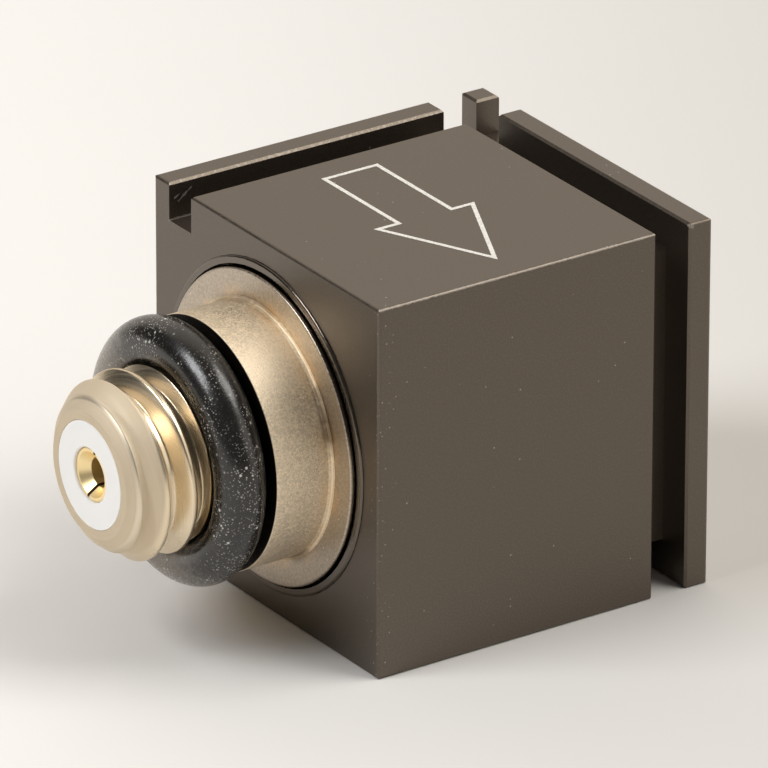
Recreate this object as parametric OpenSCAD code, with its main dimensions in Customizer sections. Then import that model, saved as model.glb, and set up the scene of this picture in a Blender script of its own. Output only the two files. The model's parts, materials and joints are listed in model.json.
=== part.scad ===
// Cube-shaped vibration sensor with a threaded coaxial connector on one side.
// Millimetres. Origin at the middle of the underside, +Z up. The connector points along -X,
// the measuring direction is -Y, and the flanges for the mounting clip are on the +X and +Y sides.

/* [Housing] */
// Length of the housing, along the connector's axis
housing_l = 10; // [9.4:0.1:14]
// Width of the housing, along the measuring direction
housing_w = 10; // [9.4:0.1:14]
// Height of the housing
housing_h = 10; // [9.4:0.1:14]
// Width of the clip slots
slot_w = 1; // [0.6:0.05:1.4]
// Depth of the clip slots
slot_depth = 1; // [0.5:0.05:1.2]
// Thickness of the flanges that the clip grips
flange_t = 0.7; // [0.5:0.05:1]
// Rounding of the outer edges of the two flanged sides
flange_round = 0.12; // [0.06:0.02:0.3]
// Rounding of the other outer edges
edge_round = 0.08; // [0.04:0.02:0.2]
// Broken edge along the mouths of the slots
slot_break = 0.06; // [0.02:0.01:0.12]

/* [Bore and cap] */
// Diameter of the end cap
cap_d = 8.2; // [8:0.05:8.6]
// Thickness of the end cap
cap_t = 1; // [0.6:0.05:1.4]
// How far the end cap stands out of the housing
cap_proud = 0.2; // [0.05:0.05:0.4]
// Rounding of the end cap's front edge
cap_round = 0.06; // [0.02:0.02:0.2]
// Gap all round the end cap
cap_gap = 0.07; // [0.02:0.01:0.12]
// Width of the raised lip round the mouth of the bore
lip_w = 0.2; // [0.14:0.01:0.25]
// Height of the lip, which is also the rounding of its outer edge
lip_h = 0.07; // [0.03:0.01:0.12]
// Diameter of the cavity behind the end cap
cavity_d = 7.4; // [7.2:0.05:7.7]
// Wall between the cavity and the slots behind it
end_wall = 1; // [0.6:0.05:1.6]

/* [Connector] */
// Diameter of the spigot that sits in the end cap
spigot_d = 4; // [3.4:0.1:4.2]
// Diameter of the neck
neck_d = 6.6; // [6.2:0.05:7]
// Length of the neck
neck_l = 1.65; // [1:0.01:2.5]
// Rounding of the neck's front edge
neck_round = 0.04; // [0.02:0.02:0.2]
// Fillet of the weld where the neck meets the end cap
weld_fillet = 0.12; // [0.04:0.02:0.2]
// Diameter of the sealing ring's seat
ring_seat_d = 4.3; // [4:0.05:4.4]
// Thickness of the sealing ring's section
o_ring_section = 1.29; // [0.9:0.01:1.4]
// Gap between the neck and the sealing ring
ring_gap = 0.11; // [0.02:0.01:0.3]
// Outside diameter of the thread (10-32 UNF)
thread_d = 4.826; // [4.6:0.001:5.2]
// Length of the thread at its full diameter
thread_l = 1.16; // [1:0.01:4]
// Length of the lead-in cone in front of the thread
lead_in_l = 0.56; // [0.3:0.02:1]
// Diameter at the front end of the lead-in cone
nose_d = 3.9; // [3.6:0.05:4.2]
// Length of the nose's chamfer
nose_l = 0.21; // [0.1:0.01:0.4]
// Diameter of the nose's flat end
nose_face_d = 3.3; // [3.1:0.05:3.5]

/* [Insulator and contact] */
// Diameter of the insulator
insulator_d = 2.8; // [2.4:0.05:3]
// Length of the insulator
insulator_l = 3.6; // [3.2:0.05:4.2]
// Diameter of the glass seal
seal_d = 2.2; // [1.6:0.05:2.3]
// Length of the glass seal
seal_l = 1.4; // [0.8:0.05:1.7]
// Diameter of the contact's socket
contact_d = 1.4; // [1.3:0.02:1.6]
// Length of the contact's socket
socket_l = 2.9; // [2.5:0.05:3.1]
// How far the contact sits behind the nose
contact_recess = 0.06; // [0.02:0.01:0.3]
// Diameter of the hole for the plug's pin
contact_hole_d = 0.78; // [0.5:0.02:0.9]
// Depth of the hole for the plug's pin
contact_hole_l = 2.2; // [1.9:0.05:2.4]
// Diameter of the funnel at the hole's mouth
funnel_d = 1.2; // [1:0.02:1.26]
// Depth of the funnel
funnel_l = 0.25; // [0.1:0.01:0.4]
// Width of the slit that lets the socket spring open
slit_w = 0.08; // [0.04:0.01:0.2]
// Depth of the slit
slit_l = 1.8; // [1:0.05:1.85]
// Turn of the slit from the horizontal
slit_angle = 77; // [0:1:180]
// Diameter of the contact's tail
tail_d = 0.6; // [0.4:0.02:0.8]
// How far the tail stands out behind the shell
tail_out = 0.9; // [0.6:0.05:1.2]

/* [Sensing element] */
// Thickness of the element's base
base_t = 1; // [0.6:0.05:1.4]
// Gap between the base and the sensing stack
stack_gap = 0.25; // [0.15:0.05:0.4]
// Length of the sensing stack
stack_l = 3; // [2.5:0.05:3.4]
// Width of the web that carries the stack
web_w = 4.4; // [3.8:0.1:5]
// Thickness of the web
web_t = 1.2; // [0.8:0.05:1.4]
// Width of a piezo plate
plate_w = 3.6; // [3:0.1:4.4]
// Thickness of a piezo plate
plate_t = 0.5; // [0.3:0.05:0.7]
// Diameter over the two seismic masses
mass_d = 5.8; // [5.6:0.05:6.1]
// Thickness of the clamp ring
ring_t = 0.35; // [0.3:0.01:0.45]
// Length of the clamp ring
ring_l = 2; // [1.4:0.05:2.4]
// Diameter of the signal lead
lead_d = 0.24; // [0.12:0.02:0.28]
// Outside diameter of the lead's solder eye
eye_d = 1.1; // [1:0.02:1.3]
// Thickness of the lead's solder eye
eye_t = 0.3; // [0.3:0.02:0.45]

/* [Fits] */
// Gap all round where one turned piece sits in another
turned_gap = 0.01; // [0.005:0.005:0.03]

/* [Hidden] */

$fn = 64;

// Overshoot of a cutting shape past the face that it cuts
over = 1;

// Distances out from the connector face, along the connector's axis
cap_back = cap_proud - cap_t;
shoulder = cap_proud + neck_l;
ring_middle = shoulder + ring_gap + o_ring_section / 2;
thread_start = shoulder + ring_gap + o_ring_section + turned_gap;
thread_end = thread_start + thread_l;
cone_end = thread_end + lead_in_l;
nose_end = cone_end + nose_l;
insulator_back = nose_end - insulator_l;
contact_front = nose_end - contact_recess;
socket_back = contact_front - socket_l;
tail_end = cap_back - tail_out;
cavity_end = flange_t + slot_w + end_wall - housing_l;
base_front = cavity_end + base_t;
stack_back = base_front + stack_gap;
stack_front = stack_back + stack_l;
ring_front = stack_back + (stack_l + ring_l) / 2;
eye_back = cap_back - (tail_out + eye_t) / 2;

// Diameter of the bore round the end cap
cap_seat_d = cap_d + 2 * cap_gap;

// Distances from the connector's axis
plate_seat = web_t / 2;
mass_seat = plate_seat + plate_t;
lead_height = mass_d / 2 + turned_gap + ring_t / 2;

anodised = [0.38, 0.35, 0.31];
blasted_steel = [0.67, 0.6, 0.5];
black_rubber = [0.1, 0.1, 0.1];
white_plastic = [0.96, 0.95, 0.92];
green_glass = [0.2, 0.34, 0.3];
gold = [0.93, 0.82, 0.55];
piezo_ceramic = [0.85, 0.8, 0.66];
heavy_metal = [0.45, 0.45, 0.47];

// Places a shape that is drawn along +Z, from the connector face outwards; its +X side points up
module on_connector_axis() {
  translate([-housing_l / 2, 0, housing_h / 2])
    rotate([0, -90, 0])
      children();
}

// Cylinder between two distances from the connector face
module rod(from, to, d) {
  translate([0, 0, from])
    cylinder(h = to - from, d = d);
}

// Ring between two distances from the connector face
module tube(from, to, outer_d, inner_d) {
  difference() {
    rod(from, to, outer_d);
    rod(from - over, to + over, inner_d);
  }
}

// Rectangle about the origin whose four corners are each rounded by their own radius,
// in the order left front, right front, right back, left back
module rounded_rectangle(l, w, r) {
  sx = [-1, 1, 1, -1];
  sy = [-1, -1, 1, 1];
  cut = [
    for (i = [0:3], first = [true, false])
      (i % 2 == 0) == first
        ? [sx[i] * l / 2, sy[i] * (w / 2 - r[i])]
        : [sx[i] * (l / 2 - r[i]), sy[i] * w / 2]
  ];
  polygon(cut);
  for (i = [0:3])
    translate([sx[i] * (l / 2 - r[i]), sy[i] * (w / 2 - r[i])])
      circle(r = r[i]);
}

// Block with the small rounding on its connector and marking sides, and the larger one on the flanged sides
module rounded_block() {
  plan_round = [edge_round, flange_round, flange_round, flange_round];
  side_round = [edge_round, flange_round, flange_round, edge_round];
  translate([0, 0, housing_h / 2])
    intersection() {
      linear_extrude(housing_h, center = true)
        rounded_rectangle(housing_l, housing_w, plan_round);
      rotate([90, 0, 0])
        linear_extrude(housing_w, center = true)
          rounded_rectangle(housing_l, housing_h, side_round);
      rotate([90, 0, 90])
        linear_extrude(housing_l, center = true)
          rounded_rectangle(housing_w, housing_h, side_round);
    }
}

// Bar that cuts one slot: it runs along X, with the middle of the slot's mouth on the X axis and its floor below
module slot_cutter(run) {
  half = slot_w / 2;
  rotate([90, 0, 90])
    linear_extrude(run + 2 * over, center = true)
      polygon([
        [-half, -slot_depth],
        [half, -slot_depth],
        [half, -slot_break],
        [half + slot_break + over, over],
        [-half - slot_break - over, over],
        [-half, -slot_break]
      ]);
}

// Two slots behind the +Y flange, in the top and the underside, over the whole length
module side_slots() {
  for (up = [-1, 1])
    translate([0, housing_w / 2 - flange_t - slot_w / 2, housing_h / 2])
      rotate([up > 0 ? 0 : 180, 0, 0])
        translate([0, 0, housing_h / 2])
          slot_cutter(housing_l);
}

// Four slots behind the +X flange, all round the housing
module end_slots() {
  half_span = [housing_h / 2, housing_w / 2];
  run = [housing_w, housing_h];
  for (side = [0:3])
    translate([housing_l / 2 - flange_t - slot_w / 2, 0, housing_h / 2])
      rotate([side * 90, 0, 0])
        translate([0, 0, half_span[side % 2]])
          rotate([0, 0, 90])
            slot_cutter(run[side % 2]);
}

// Bore for the cap and the sensing element, with a ledge for the cap
module stepped_bore() {
  rod(cavity_end, over, cavity_d);
  rod(cap_back, over, cap_seat_d);
}

// Disc on the connector face with a rounded outer edge, which becomes a lip when the bore goes through it
module lip_disc() {
  outer_d = cap_seat_d + 2 * lip_w;
  rod(cap_back, 0, outer_d);
  rod(cap_back, lip_h, outer_d - 2 * lip_h);
  rotate_extrude()
    translate([outer_d / 2 - lip_h, 0])
      circle(r = lip_h);
}

module housing() {
  color(anodised)
    difference() {
      union() {
        rounded_block();
        on_connector_axis() lip_disc();
      }
      side_slots();
      end_slots();
      on_connector_axis() stepped_bore();
    }
}

// Disc with a hole for the spigot and a rounded front edge
module end_cap() {
  color(blasted_steel)
    on_connector_axis()
      difference() {
        union() {
          rod(cap_back, cap_proud - cap_round, cap_d);
          rod(cap_back, cap_proud, cap_d - 2 * cap_round);
          translate([0, 0, cap_proud - cap_round])
            rotate_extrude()
              translate([cap_d / 2 - cap_round, 0])
                circle(r = cap_round);
        }
        rod(cap_back - over, cap_proud + over, spigot_d + 2 * turned_gap);
      }
}

// Half section of the turned shell, radius along X and distance from the connector face along Y
module shell_section() {
  neck_r = neck_d / 2;
  seat_r = ring_seat_d / 2;
  thread_r = thread_d / 2;
  difference() {
    union() {
      polygon([
        [0, cap_back],
        [spigot_d / 2, cap_back],
        [spigot_d / 2, cap_proud],
        [neck_r + weld_fillet, cap_proud],
        [neck_r, cap_proud + weld_fillet],
        [neck_r, shoulder - neck_round],
        [neck_r - neck_round, shoulder],
        [seat_r, shoulder],
        [seat_r, thread_start - (thread_r - seat_r)],
        [thread_r, thread_start],
        [thread_r, thread_end],
        [nose_d / 2, cone_end],
        [nose_face_d / 2, nose_end],
        [0, nose_end]
      ]);
      translate([neck_r - neck_round, shoulder - neck_round])
        circle(r = neck_round);
    }
    translate([neck_r + weld_fillet, cap_proud + weld_fillet])
      circle(r = weld_fillet);
  }
}

module connector_shell() {
  color(blasted_steel)
    on_connector_axis()
      difference() {
        rotate_extrude() shell_section();
        rod(insulator_back, nose_end + over, insulator_d + 2 * turned_gap);
        rod(cap_back - over, nose_end, seal_d + 2 * turned_gap);
      }
}

module o_ring() {
  ring_inner_r = ring_seat_d / 2 + turned_gap;
  color(black_rubber)
    on_connector_axis()
      translate([0, 0, ring_middle])
        rotate_extrude()
          translate([ring_inner_r + o_ring_section / 2, 0])
            circle(d = o_ring_section);
}

// Bush with a wide hole for the contact's socket and a narrow one for its tail
module insulator() {
  color(white_plastic)
    on_connector_axis()
      difference() {
        rod(insulator_back, nose_end, insulator_d);
        rod(socket_back, nose_end + over, contact_d + 2 * turned_gap);
        rod(insulator_back - over, nose_end, tail_d + 2 * turned_gap);
      }
}

module glass_seal() {
  color(green_glass)
    on_connector_axis()
      tube(cap_back, cap_back + seal_l, seal_d, tail_d + 2 * turned_gap);
}

// Socket with a funnelled hole and a slit across its mouth, on a thin tail
module centre_contact() {
  color(gold)
    on_connector_axis()
      difference() {
        union() {
          rod(socket_back, contact_front, contact_d);
          rod(tail_end, contact_front, tail_d);
        }
        rod(contact_front - contact_hole_l, contact_front + over, contact_hole_d);
        translate([0, 0, contact_front - funnel_l])
          cylinder(h = funnel_l, d1 = contact_hole_d, d2 = funnel_d);
        rod(contact_front, contact_front + over, funnel_d);
        rotate([0, 0, slit_angle - 90])
          translate([-contact_d, -slit_w / 2, contact_front - slit_l])
            cube([2 * contact_d, slit_w, slit_l + over]);
      }
}

// Disc on the bottom of the bore, with the flat web that carries the stack
module element_base() {
  color(blasted_steel)
    on_connector_axis() {
      rod(cavity_end, base_front, cavity_d - 2 * turned_gap);
      translate([-web_t / 2, -web_w / 2, cavity_end])
        cube([web_t, web_w, stack_front - cavity_end]);
    }
}

// Plate on one face of the web: side is 1 above it and -1 below
module piezo_plate(side) {
  middle = side * (plate_seat + plate_t / 2);
  color(piezo_ceramic)
    on_connector_axis()
      translate([middle - plate_t / 2, -plate_w / 2, stack_back])
        cube([plate_t, plate_w, stack_l]);
}

module piezo_plate_upper() {
  piezo_plate(1);
}

module piezo_plate_lower() {
  piezo_plate(-1);
}

// Segment of a round bar on one plate: side is 1 above the web and -1 below
module seismic_mass(side) {
  color(heavy_metal)
    on_connector_axis()
      rotate([0, 0, side > 0 ? 0 : 180])
        intersection() {
          rod(stack_back, stack_front, mass_d);
          translate([mass_seat, -mass_d, stack_back - over])
            cube([mass_d, 2 * mass_d, stack_l + 2 * over]);
        }
}

module seismic_mass_upper() {
  seismic_mass(1);
}

module seismic_mass_lower() {
  seismic_mass(-1);
}

module clamp_ring() {
  ring_inner_d = mass_d + 2 * turned_gap;
  color(blasted_steel)
    on_connector_axis()
      tube(ring_front - ring_l, ring_front, ring_inner_d + 2 * ring_t, ring_inner_d);
}

// Wire from the front of the clamp ring, bent down to a solder eye round the contact's tail
module signal_lead() {
  wire_front = eye_back + eye_t / 2;
  eye_hole_d = tail_d + 2 * turned_gap;
  eye_middle = (eye_d + eye_hole_d) / 4;
  color(gold)
    on_connector_axis() {
      translate([lead_height, 0, 0])
        rod(ring_front, wire_front, lead_d);
      translate([lead_height, 0, wire_front])
        sphere(d = lead_d);
      translate([eye_middle, 0, wire_front])
        rotate([0, 90, 0])
          cylinder(h = lead_height - eye_middle, d = lead_d);
      tube(eye_back, eye_back + eye_t, eye_d, eye_hole_d);
    }
}

housing();
end_cap();
connector_shell();
o_ring();
insulator();
glass_seal();
centre_contact();
element_base();
piezo_plate_upper();
piezo_plate_lower();
seismic_mass_upper();
seismic_mass_lower();
clamp_ring();
signal_lead();
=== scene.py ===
# %% [markdown]
# # A cube-shaped vibration sensor
#
# The object is a small accelerometer: a hard-anodised aluminium cube of 10 mm with slots for a mounting
# clip, and a threaded coaxial connector with a rubber sealing ring. Its construction comes from a
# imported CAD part, which is loaded first and stays where it is. The lesson then gives each piece its
# finish, and remakes the turned pieces as fine surfaces. All places are in the frame of the CAD part:
# +Z is up and the connector points along -X.

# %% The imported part
import json
import math

import bmesh
import bpy
import numpy as np
from mathutils import Matrix, Vector


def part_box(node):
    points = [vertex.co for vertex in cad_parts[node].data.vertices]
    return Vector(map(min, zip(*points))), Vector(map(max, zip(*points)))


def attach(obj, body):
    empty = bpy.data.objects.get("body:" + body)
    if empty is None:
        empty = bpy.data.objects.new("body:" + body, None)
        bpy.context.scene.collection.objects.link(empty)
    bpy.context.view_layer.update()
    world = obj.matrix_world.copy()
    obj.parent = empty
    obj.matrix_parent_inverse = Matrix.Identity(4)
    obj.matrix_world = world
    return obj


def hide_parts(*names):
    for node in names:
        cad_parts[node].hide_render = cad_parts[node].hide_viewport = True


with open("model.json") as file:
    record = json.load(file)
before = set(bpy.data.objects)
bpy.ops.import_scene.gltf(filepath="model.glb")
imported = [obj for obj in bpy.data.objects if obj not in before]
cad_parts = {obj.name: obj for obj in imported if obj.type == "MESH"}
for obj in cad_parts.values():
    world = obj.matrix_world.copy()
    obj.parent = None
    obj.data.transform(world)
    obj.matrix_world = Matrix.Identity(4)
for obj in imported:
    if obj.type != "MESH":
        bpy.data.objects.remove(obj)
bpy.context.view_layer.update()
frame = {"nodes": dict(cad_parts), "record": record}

MM = 0.001
print("CAD nodes:", ", ".join(sorted(frame["nodes"])))

# %% [markdown]
# ## One axis for all turned pieces
#
# Everything on the connector was made on a lathe, so it is round about one axis, which leaves the
# connector face at its middle. Sizes below are millimetres. A distance is measured from the connector
# face outwards, and an angle from the -Y side upwards. Reading the places from the CAD nodes keeps both
# models together. The housing has a raised lip on its connector face, so that face is found as the
# mirror image of the one opposite.

# %% Places read from the CAD nodes
def corners_of(node):
    """Lowest and highest corner of a CAD node, in millimetres."""
    low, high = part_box(node)
    return np.array(low) / MM, np.array(high) / MM


housing_low, housing_high = corners_of("housing")
face_x = -housing_high[0]
axis_y, axis_z = (housing_low[1:] + housing_high[1:]) / 2


def turned_size(node):
    """Back and front of a turned node, as distances from the connector face, and its largest radius."""
    low, high = corners_of(node)
    return face_x - high[0], face_x - low[0], (high[2] - low[2]) / 2


def on_axis(distance, radius, angle):
    """Points about the connector's axis: x = face - distance, y = axis - radius * cos(angle) and
    z = axis + radius * sin(angle)."""
    distance, radius, angle = np.broadcast_arrays(distance, radius, angle)
    across = axis_y - radius * np.cos(angle)
    height = axis_z + radius * np.sin(angle)
    return np.stack([face_x - distance, across, height], axis=-1)


print("housing", housing_high - housing_low, "mm, connector face at x =", face_x)

# %% [markdown]
# ## Camera
#
# The sensor was photographed from far away with a long lens, so its edges stay almost parallel. The
# camera is set by its direction, its distance and the point it looks at. A camera looks along its own
# -Z, with +Y up, so its turn is a matrix whose columns are the right, up and backward directions.

# %% Camera from direction and distance
lens, sensor = 547.554, 36
azimuth, elevation, roll = np.radians([-34.2279, 24.6662, 0.1249])
aim = Vector((-1.6917, -0.3761, 5.4353)) * MM
camera_distance = 291.009 * MM

backward = Vector((
    math.sin(azimuth) * math.cos(elevation),
    -math.cos(azimuth) * math.cos(elevation),
    math.sin(elevation),
))
level = Vector((math.cos(azimuth), math.sin(azimuth), 0))
right = level * math.cos(roll) + backward.cross(level) * math.sin(roll)
turn = Matrix((right, backward.cross(right), backward)).transposed()

camera_data = bpy.data.cameras.new("camera")
camera_data.lens = lens
camera_data.sensor_width = sensor
camera_data.clip_start, camera_data.clip_end = 0.01, 10
camera = bpy.data.objects.new("camera", camera_data)
camera.matrix_world = Matrix.Translation(aim + backward * camera_distance) @ turn.to_4x4()
bpy.context.scene.collection.objects.link(camera)
bpy.context.scene.camera = camera
print("camera at", [round(x / MM, 1) for x in camera.location], "mm")

# %% [markdown]
# ## Shader nodes in few words
#
# A finish is a small network of nodes. Adding nodes one by one takes many lines, so these helpers add a
# node, set its values and link its inputs in one call. An input that is given another node's output
# becomes a link, and any other value is set on the socket.

# %% Helpers for shader nodes
def add_node(tree, kind, inputs=None, **settings):
    """Adds a shader node. Settings are the node's own properties; inputs go by name or number."""
    node = tree.nodes.new("ShaderNode" + kind)
    for name, value in settings.items():
        setattr(node, name, value)
    for key, value in (inputs or {}).items():
        if isinstance(value, bpy.types.NodeSocket):
            tree.links.new(value, node.inputs[key])
        else:
            node.inputs[key].default_value = value
    return node


def calc(tree, operation, *values):
    """One step of arithmetic on single values."""
    return add_node(tree, "Math", operation=operation, inputs=dict(enumerate(values))).outputs[0]


def vector_calc(tree, operation, *vectors):
    """One step of arithmetic on vectors."""
    return add_node(tree, "VectorMath", operation=operation, inputs=dict(enumerate(vectors)))


def ramp(tree, value, start, end):
    """Goes softly from 0 where the value is at start to 1 where it is at end."""
    inputs = {"Value": value, "From Min": start, "From Max": end}
    return add_node(tree, "MapRange", interpolation_type="SMOOTHSTEP", inputs=inputs).outputs["Result"]


def between(tree, factor, low, high):
    """A value that is low where the factor is 0 and high where it is 1."""
    inputs = {"Value": factor, "To Min": low, "To Max": high}
    return add_node(tree, "MapRange", inputs=inputs).outputs["Result"]


def blend(tree, factor, first, second):
    """Mixes two colours: the first where the factor is 0, the second where it is 1."""
    colours = [c if isinstance(c, bpy.types.NodeSocket) else (*c, 1) for c in (first, second)]
    inputs = {0: factor, 6: colours[0], 7: colours[1]}
    return add_node(tree, "Mix", data_type="RGBA", inputs=inputs).outputs[2]


def bump(tree, height, depth, normal=None):
    """Normals of a surface whose height goes from 0 to depth, in millimetres."""
    inputs = {"Height": height, "Distance": depth * MM}
    if normal is not None:
        inputs["Normal"] = normal
    return add_node(tree, "Bump", inputs=inputs).outputs["Normal"]


def new_finish(name, fixed):
    """A material with one Principled shader. Values that are the same all over go onto its own sockets.
    Returns the material, its tree, the shader's inputs and the surface point in millimetres."""
    material = bpy.data.materials.new(name)
    material.use_nodes = True
    tree = material.node_tree
    shader = tree.nodes["Principled BSDF"]
    for socket, value in fixed.items():
        shader.inputs[socket].default_value = value
    place = add_node(tree, "TexCoord").outputs["Object"]
    point = add_node(tree, "VectorMath", operation="SCALE", inputs={"Vector": place, "Scale": 1 / MM})
    return material, tree, shader.inputs, point.outputs["Vector"]


def connect(tree, shader, **links):
    """Links outputs to the shader's inputs, which are named with _ for a space."""
    for name, output in links.items():
        tree.links.new(output, shader[name.replace("_", " ")])


print("helpers ready")

# %% [markdown]
# ## Studio
#
# The sensor lies on pale paper. Two soft boxes draw the streaks on the rubber ring: a strong one on the
# left and a warmer one overhead. The room is dark but for a bright part behind the sensor, which the
# top of the sensor mirrors. The rounded edges mirror the dark parts, so they show as dark lines. A
# black flag stands at the back left, and a weak card on the camera's right keeps the neck pale. Area
# lamps could light it all, but a world of soft patches is simple to place by the direction that a
# surface mirrors.

# %% Floor
floor_half = 2000
paper_shaded, paper_lit = (0.70, 0.685, 0.665), (0.91, 0.90, 0.88)
leftwards, shade_half = (-0.83, 0.56, 0), 16
floor_corners = np.array([[-1, -1, 0], [1, -1, 0], [1, 1, 0], [-1, 1, 0]]) * floor_half * MM
floor_mesh = bpy.data.meshes.new("floor")
floor_mesh.from_pydata(floor_corners.tolist(), [], [[0, 1, 2, 3]])
floor = bpy.data.objects.new("floor", floor_mesh)
bpy.context.scene.collection.objects.link(floor)
paper, tree, shader, point = new_finish("paper", {"Roughness": 0.9, "Specular IOR Level": 0.2})
# The paper is painted darker towards the right: painted shade on the floor.
to_left = vector_calc(tree, "DOT_PRODUCT", point, leftwards).outputs["Value"]
shade = ramp(tree, to_left, -shade_half, shade_half)
connect(tree, shader, Base_Color=blend(tree, shade, paper_shaded, paper_lit))
floor_mesh.materials.append(paper)
print("floor", 2 * floor_half * MM, "m wide")

# %% World and soft boxes
tent_colour = (0.09, 0.087, 0.083)
# Direction, cosines of the angles from it at the rim and at the full middle, and colour
patches = [
    ((0.51, 0.75, 0.42), 0.40, 0.80, (0.90, 0.82, 0.72)),
    ((-0.53, 0.80, 0.28), 0.86, 0.95, (0.02, 0.02, 0.02)),
    ((0.62, -0.68, 0.39), 0.84, 0.97, (1.2, 1.13, 1.03)),
]

world = bpy.data.worlds.new("light_tent")
world.use_nodes = True
bpy.context.scene.world = world
tent = world.node_tree
direction = add_node(tent, "TexCoord").outputs["Generated"]
tent_light = tent_colour
for towards, rim, middle, colour in patches:
    nearness = vector_calc(tent, "DOT_PRODUCT", direction, Vector(towards).normalized())
    tent_light = blend(tent, ramp(tent, nearness.outputs["Value"], rim, middle), tent_light, colour)
tent.links.new(tent_light, tent.nodes["Background"].inputs["Color"])


def soft_box(name, towards, distance, width, height, radiance, colour):
    """Area lamp aimed at the sensor, with its sizes in metres. Its power is radiance * area * pi."""
    lamp = bpy.data.lights.new(name, "AREA")
    lamp.shape = "RECTANGLE"
    lamp.size, lamp.size_y = width, height
    lamp.energy = radiance * width * height * math.pi
    lamp.color = colour
    box = bpy.data.objects.new(name, lamp)
    place = Vector(towards).normalized()
    facing = place.to_track_quat("Z", "Y").to_matrix().to_4x4()
    box.matrix_world = Matrix.Translation(aim + place * distance) @ facing
    bpy.context.scene.collection.objects.link(box)
    print(name, "radiance", radiance, "over", round(width * height / distance**2, 2), "sr")


soft_box("soft_box_left", (-0.68, 0.16, 0.71), 0.40, 0.18, 0.17, 9.3, (0.97, 0.98, 1.0))
soft_box("soft_box_above", (0.42, -0.32, 0.85), 0.40, 0.20, 0.20, 5.6, (1.0, 0.97, 0.92))
bpy.context.scene.view_settings.view_transform = "Standard"

# %% [markdown]
# ## From numbers to a mesh
#
# Each new piece is a grid of points worked out as whole arrays. The helper turns such a grid into a
# mesh, merges points that fall together and checks which way the faces point: the signed volume, summed
# over the tetrahedra between the origin and every face, is positive when they point outwards. Edges
# sharper than the crease angle stay sharp, and all others are shaded smooth.

# %% Helpers for meshes
def add_piece(name, points, faces, materials, node=None, crease=38):
    """Makes a closed piece from points in millimetres. It can stand for a CAD node."""
    mesh = bpy.data.meshes.new(name)
    mesh.from_pydata((np.reshape(points, (-1, 3)) * MM).tolist(), [], faces)
    shape = bmesh.new()
    shape.from_mesh(mesh)
    bmesh.ops.remove_doubles(shape, verts=shape.verts, dist=1e-8)
    volume = shape.calc_volume(signed=True)
    if volume < 0:
        bmesh.ops.reverse_faces(shape, faces=shape.faces)
    open_edges = sum(not edge.is_manifold for edge in shape.edges)
    shape.to_mesh(mesh)
    shape.free()
    mesh.shade_smooth()
    mesh.set_sharp_from_angle(angle=math.radians(crease))
    for material in materials:
        mesh.materials.append(material)
    piece = bpy.data.objects.new(name, mesh)
    bpy.context.scene.collection.objects.link(piece)
    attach(piece, "root")
    if node:
        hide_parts(node)
    print(f"{name}: {len(mesh.polygons)} faces, {abs(volume) / MM**3:.2f} mm3, {open_edges} open edges")
    return piece


def grid_faces(rows, columns, closed_rows):
    """Four-sided faces of a grid whose columns run round and meet; closed rows meet as well."""
    row = np.arange(rows if closed_rows else rows - 1)[:, None]
    column = np.arange(columns)[None, :]
    next_row, next_column = (row + 1) % rows, (column + 1) % columns
    corners = np.broadcast_arrays(
        row * columns + column,
        row * columns + next_column,
        next_row * columns + next_column,
        next_row * columns + column,
    )
    return np.stack(corners, axis=-1).reshape(-1, 4).tolist()


def unit(vectors):
    """Vectors of length 1 in the same directions."""
    return vectors / np.linalg.norm(vectors, axis=-1, keepdims=True)


def rounded_outline(rows, step, arc_points=9):
    """Closed outline through corners, given as rows of distance, radius about the axis and radius of the
    corner's arc. The arc touches the two sides at arc radius / tan(half the corner's angle), and its centre
    is on the bisector at arc radius / sin(half the angle). Points on it are weighted by sines between its
    two ends. The walk round is then cut about once every step."""
    corners, radii = np.array(rows)[:, :2], np.array(rows)[:, 2]
    to_last = unit(np.roll(corners, 1, axis=0) - corners)
    to_next = unit(np.roll(corners, -1, axis=0) - corners)
    half = np.arccos((to_last * to_next).sum(axis=1)) / 2
    centre = corners + unit(to_last + to_next) * (radii / np.sin(half))[:, None]
    start = corners + to_last * (radii / np.tan(half))[:, None] - centre
    end = corners + to_next * (radii / np.tan(half))[:, None] - centre
    sweep = (np.pi - 2 * half)[:, None, None]
    share = np.linspace(0, 1, arc_points)[None, :, None]
    arc = np.sin((1 - share) * sweep) * start[:, None] + np.sin(share * sweep) * end[:, None]
    walk = (centre[:, None] + arc / np.sin(sweep)).reshape(-1, 2)
    walk = np.vstack([walk, walk[:1]])
    passed = np.r_[0, np.cumsum(np.linalg.norm(np.diff(walk, axis=0), axis=1))]
    kept = np.r_[True, np.diff(passed) > 1e-6]
    walk, passed = walk[kept], passed[kept]
    cuts = np.arange(step, passed[-1], step)
    cuts = cuts[np.abs(cuts[:, None] - passed).min(axis=1) > step / 4]
    stops = np.sort(np.r_[passed, cuts])
    return np.stack([np.interp(stops, passed, side) for side in walk.T], axis=1)[:-1]


def revolved(outline, columns=240):
    """Carries an outline of (distance, radius) points round the axis, one circle for each point."""
    angle = np.linspace(0, 2 * np.pi, columns, endpoint=False)
    return on_axis(outline[:, :1], outline[:, 1:], angle[None, :])


print("mesh helpers ready")

# %% [markdown]
# ## Effects that come back
#
# Grain, dust, thin worn lines, stains and the marks of a lathe are needed more than once, so each is a
# node group with named inputs and outputs, built once and placed with other values wherever it is used.
# They put out masks and heights only, and the shader stays in the material.

# %% Helpers for node groups
def new_group(name, inputs, outputs):
    """An empty node group. Inputs are given as {name: default}; a default of three numbers is a vector."""
    group = bpy.data.node_groups.new(name, "ShaderNodeTree")
    for socket, default in inputs.items():
        kind = "NodeSocketVector" if isinstance(default, tuple) else "NodeSocketFloat"
        group.interface.new_socket(socket, in_out="INPUT", socket_type=kind).default_value = default
    for socket in outputs:
        group.interface.new_socket(socket, in_out="OUTPUT", socket_type="NodeSocketFloat")
    return group, group.nodes.new("NodeGroupInput").outputs, group.nodes.new("NodeGroupOutput").inputs


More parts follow.
